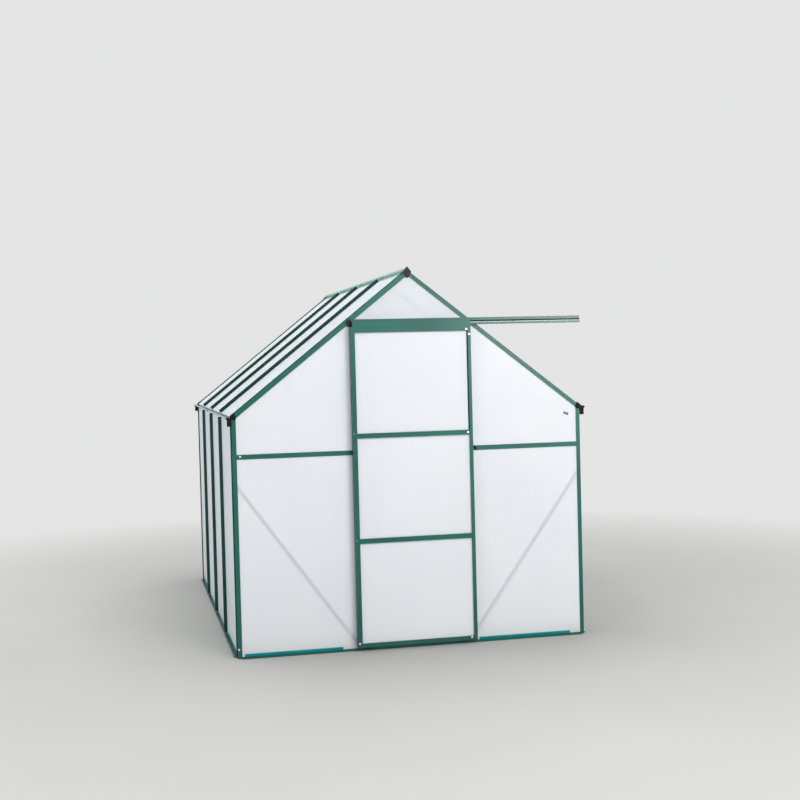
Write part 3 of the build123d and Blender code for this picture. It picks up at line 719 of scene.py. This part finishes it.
def extruded(outline, low, high):
    """An upright bar from its outline in X and Y."""
    pairs = zip(outline, outline[1:] + outline[:1])
    area = sum(a[0] * b[1] - b[0] * a[1] for a, b in pairs)
    corners = outline if area > 0 else outline[::-1]
    count = len(corners)
    vertices = [(x, y, z) for z in (low, high) for x, y in corners]
    sides = [(n, (n + 1) % count, count + (n + 1) % count, count + n) for n in range(count)]
    ends = [tuple(reversed(range(count))), tuple(range(count, 2 * count))]
    mesh = bpy.data.meshes.new("bar")
    mesh.from_pydata(vertices, [], sides + ends)
    return mesh


# Painted shade: a dark strip along the right edge of the door's top sheet, where the inner side of
# the stile lies in shadow, with its outline in X and Y

SHADE_STRIP_BACK = DOOR_SHEET_MIDDLE - 0.0022
SHADE_STRIP_EDGE = SHADE_STRIP_BACK - 0.0022
SHADE_STRIP_FRONT = SHADE_STRIP_BACK - 0.0032
SHADE_STRIP_ENDS = (1.1185, 1.6325)
SHADE_STRIP = (
    (0.2998, SHADE_STRIP_BACK), (0.2998, SHADE_STRIP_EDGE), (0.3008, SHADE_STRIP_FRONT),
    (0.3028, SHADE_STRIP_FRONT), (0.3038, SHADE_STRIP_EDGE), (0.3038, SHADE_STRIP_BACK),
)
# Painted shade: a black strip standing in for the shadow beside the stile
piece("door_stile_shade", DOOR, BLACK, [(extruded(SHADE_STRIP, *SHADE_STRIP_ENDS), UPRIGHT)])


# Track: a dark strip of painted shade behind its slot and a pale strip of painted glint under it,
# with outlines in Y and Z

TRACK_ENDS = (-0.302, 0.9275)
SLOT_MIDDLE = middle("door_track").z
SLOT_SHADE_BACK = FRONT_FACE - 0.002
SLOT_SHADE_FRONT = SLOT_SHADE_BACK - 0.0008
SLOT_SHADE = (
    (SLOT_SHADE_BACK, SLOT_MIDDLE - 0.006), (SLOT_SHADE_BACK, SLOT_MIDDLE + 0.006),
    (SLOT_SHADE_FRONT, SLOT_MIDDLE + 0.005), (SLOT_SHADE_FRONT, SLOT_MIDDLE - 0.005),
)
GLINT_BACK = FRONT_FACE - 0.020
GLINT_FRONT = GLINT_BACK - 0.0006
GLINT_OUTLINE = (
    (GLINT_BACK, SLOT_MIDDLE - 0.0086), (GLINT_BACK, SLOT_MIDDLE - 0.0030),
    (GLINT_FRONT, SLOT_MIDDLE - 0.0034), (GLINT_FRONT, SLOT_MIDDLE - 0.0082),
)
# Painted shade: a black strip where the inside of the track lies in shadow behind its slot
slot_shade = extruded(SLOT_SHADE, *TRACK_ENDS)
piece("track_slot_shade", FRAME, BLACK, [(slot_shade, ALONG_X)])
# Painted glint: a pale strip where the lower lip of the track catches the light
worn_edge = extruded(GLINT_OUTLINE, *TRACK_ENDS)
piece("track_painted_glint", FRAME, WORN_AND_GLINT, [(worn_edge, ALONG_X)])


# Gutter joints: a sleeve round each gutter where its two lengths meet

# X, and the height over the eaves
GUTTER_SLEEVE = (
    (0.9310, -0.0236), (0.9531, -0.0131), (0.9531, -0.0052), (0.9466, -0.0052),
    (0.9466, -0.0059), (0.9524, -0.0059), (0.9524, -0.0126), (0.9310, -0.0228),
)
SLEEVE_HALF = 0.030


def gutter_sleeve(side):
    outline = tuple((side * x, EAVE_HEIGHT + z) for x, z in GUTTER_SLEEVE)
    return extruded(outline, -MIDDLE - SLEEVE_HALF, -MIDDLE + SLEEVE_HALF), ALONG_Y


sleeves = [gutter_sleeve(side) for side in (-1, 1)]
piece("gutter_sleeves", FRAME, BLACK, sleeves)


# Studio: floor, lamps, world and camera

BACKGROUND = srgb(228, 229, 228)
FLOOR_HALF = 60.0
FLOOR_FADE = (1.6, 5.0)
SKY_TINT = (0.92, 0.96, 1.0, 1.0)
SKY_STRENGTH = 0.52


def floor_finish():
    """Pale floor near the greenhouse, which fades into the background further out."""
    finish = Finish("pale_floor")
    clouds = finish.noise(scale=0.6, detail=3.0)
    tone = finish.blend(finish.band(clouds, 0.3, 0.7), srgb(161, 160, 156), srgb(168, 167, 163))
    near = finish.skin(Base_Color=tone, Roughness=0.8)
    settings = {"operation": "LENGTH"}
    reach = finish.wire(finish.node("ShaderNodeVectorMath", settings, {0: finish.place}), "Value")
    far = finish.wire(finish.node("ShaderNodeEmission", None, {"Color": BACKGROUND}))
    return finish.done(finish.mixed(finish.band(reach, *FLOOR_FADE), near, far))


def make_floor():
    mesh = bpy.data.meshes.new("floor")
    turns = ((-1, -1), (1, -1), (1, 1), (-1, 1))
    corners = [(x * FLOOR_HALF, y * FLOOR_HALF, 0.0) for x, y in turns]
    mesh.from_pydata(corners, [], [(0, 1, 2, 3)])
    mesh.materials.append(floor_finish())
    floor = bpy.data.objects.new("floor", mesh)
    bpy.context.scene.collection.objects.link(floor)


def make_lamp(name, place, target, size, power, colour):
    data = bpy.data.lights.new(name, "AREA")
    data.shape = "RECTANGLE"
    data.size, data.size_y = size
    data.energy = power
    data.color = colour
    lamp = bpy.data.objects.new(name, data)
    lamp.location = place
    direction = Vector(target) - Vector(place)
    lamp.rotation_euler = direction.to_track_quat("-Z", "Y").to_euler()
    bpy.context.scene.collection.objects.link(lamp)


def make_world():
    """A soft, cool light all round. The camera and shiny surfaces see the plain background."""
    world = bpy.data.worlds.new("studio")
    world.use_nodes = True
    made = Tree(world.node_tree)
    made.tree.nodes.clear()
    inputs = {"Color": SKY_TINT, "Strength": SKY_STRENGTH}
    light = made.wire(made.node("ShaderNodeBackground", None, inputs))
    inputs = {"Color": BACKGROUND, "Strength": 1.0}
    seen = made.wire(made.node("ShaderNodeBackground", None, inputs))
    path = made.node("ShaderNodeLightPath")
    plain = made.wire(path, "Is Camera Ray").at_least(made.wire(path, "Is Glossy Ray"))
    made.node("ShaderNodeOutputWorld", None, {"Surface": made.mixed(plain, light, seen)})
    bpy.context.scene.world = world


def make_camera():
    """In front of the left corner, as far off, as high and as tilted as in the photo."""
    place = (-1.49275, -7.7458, 1.4745)
    yaw, pitch, roll = math.radians(12.526), math.radians(1.656), math.radians(-1.47)
    focal_pixels, image_pixels, sensor = 1284.4, 800.0, 36.0
    data = bpy.data.cameras.new("camera")
    data.sensor_width = sensor
    data.lens = sensor * focal_pixels / image_pixels
    camera = bpy.data.objects.new("camera", data)
    turn = (
        Matrix.Rotation(-yaw, 4, "Z")
        @ Matrix.Rotation(math.radians(90) - pitch, 4, "X")
        @ Matrix.Rotation(roll, 4, "Z")
    )
    camera.matrix_world = Matrix.Translation(place) @ turn
    bpy.context.scene.collection.objects.link(camera)
    bpy.context.scene.camera = camera


# Each lamp's place, the point it faces, its size, its watts and its colour
LAMPS = {
    "key": ((3.4, -5.8, 4.6), (0.3, -1.0, 1.3), (3.5, 3.0), 60.0, (1.0, 0.99, 0.97)),
    "front": ((1.1, -7.8, 4.2), (0.2, -1.3, 1.0), (3.0, 1.6), 248.0, (1.0, 1.0, 1.0)),
    "window": ((3.8, -8.4, 2.2), (0.6, -1.3, 1.5), (2.6, 1.8), 215.0, (1.0, 1.0, 1.0)),
    "fill": ((-5.0, -5.0, 3.0), (0.0, 0.0, 0.9), (4.0, 3.0), 50.0, (0.95, 0.98, 1.0)),
    "side": ((-6.0, 1.5, 2.5), (-0.9, 0.0, 0.7), (4.0, 3.0), 150.0, (0.97, 0.99, 1.0)),
    "top": ((0.0, 1.0, 7.0), (0.0, 0.2, 0.0), (6.0, 6.0), 370.0, (1.0, 1.0, 1.0)),
}

make_floor()
make_world()
for name, settings in LAMPS.items():
    make_lamp(name, *settings)
make_camera()

bpy.context.scene.view_settings.view_transform = "Standard"
